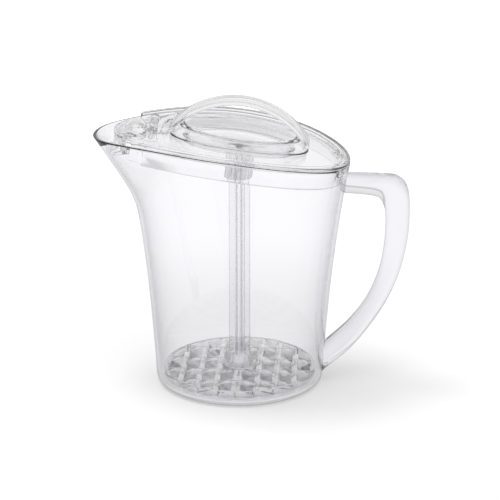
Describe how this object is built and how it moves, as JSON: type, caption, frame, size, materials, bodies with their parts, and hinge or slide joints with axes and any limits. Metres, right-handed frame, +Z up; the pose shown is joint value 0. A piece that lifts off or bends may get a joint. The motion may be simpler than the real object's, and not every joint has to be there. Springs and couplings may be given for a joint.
{
  "type": "mixing pitcher",
  "caption": "Clear plastic mixing pitcher with a side handle, an arched push-in lid, a pivoting spout flap, a pour strainer and a plunger with a grid mixing disc.",
  "frame": {"origin": "centre of the jug's flat base, on the surface it stands on", "axes": "+Z up, +X towards the side handle, the spout towards -X"},
  "size_m": [0.2293, 0.1284, 0.2142],
  "materials": {
    "jug_clear": "clear glossy moulded plastic",
    "handle_clear": "clear glossy moulded plastic",
    "lid_clear": "clear glossy moulded plastic",
    "plunger_clear": "clear glossy moulded plastic",
    "small_clear": "clear glossy moulded plastic"
  },
  "bodies": {
    "pitcher": {"pitcher_jug": "jug_clear", "side_handle": "handle_clear"},
    "lid": {"lid_shell": "lid_clear", "rod_guide": "small_clear", "strainer_comb": "small_clear", "flap_pin": "small_clear"},
    "spout_gate": {"spout_flap": "lid_clear"},
    "plunger": {"plunger_handle": "plunger_clear", "plunger_rod": "plunger_clear", "disc_hub": "small_clear", "mixing_disc": "plunger_clear"}
  },
  "joints": [
    {"name": "lid_lift", "type": "slide", "parent": "pitcher", "child": "lid", "axis": [0, 0, 1], "range_m": [0, 0.06]},
    {"name": "plunger_stroke", "type": "slide", "parent": "lid", "child": "plunger", "axis": [0, 0, 1], "range_m": [0, 0.138]},
    {"name": "flap_swing", "type": "hinge", "parent": "lid", "child": "spout_gate", "pos_m": [-0.062, 0, 0.1908], "axis": [0, 1, 0], "range_deg": [0, 18]}
  ]
}
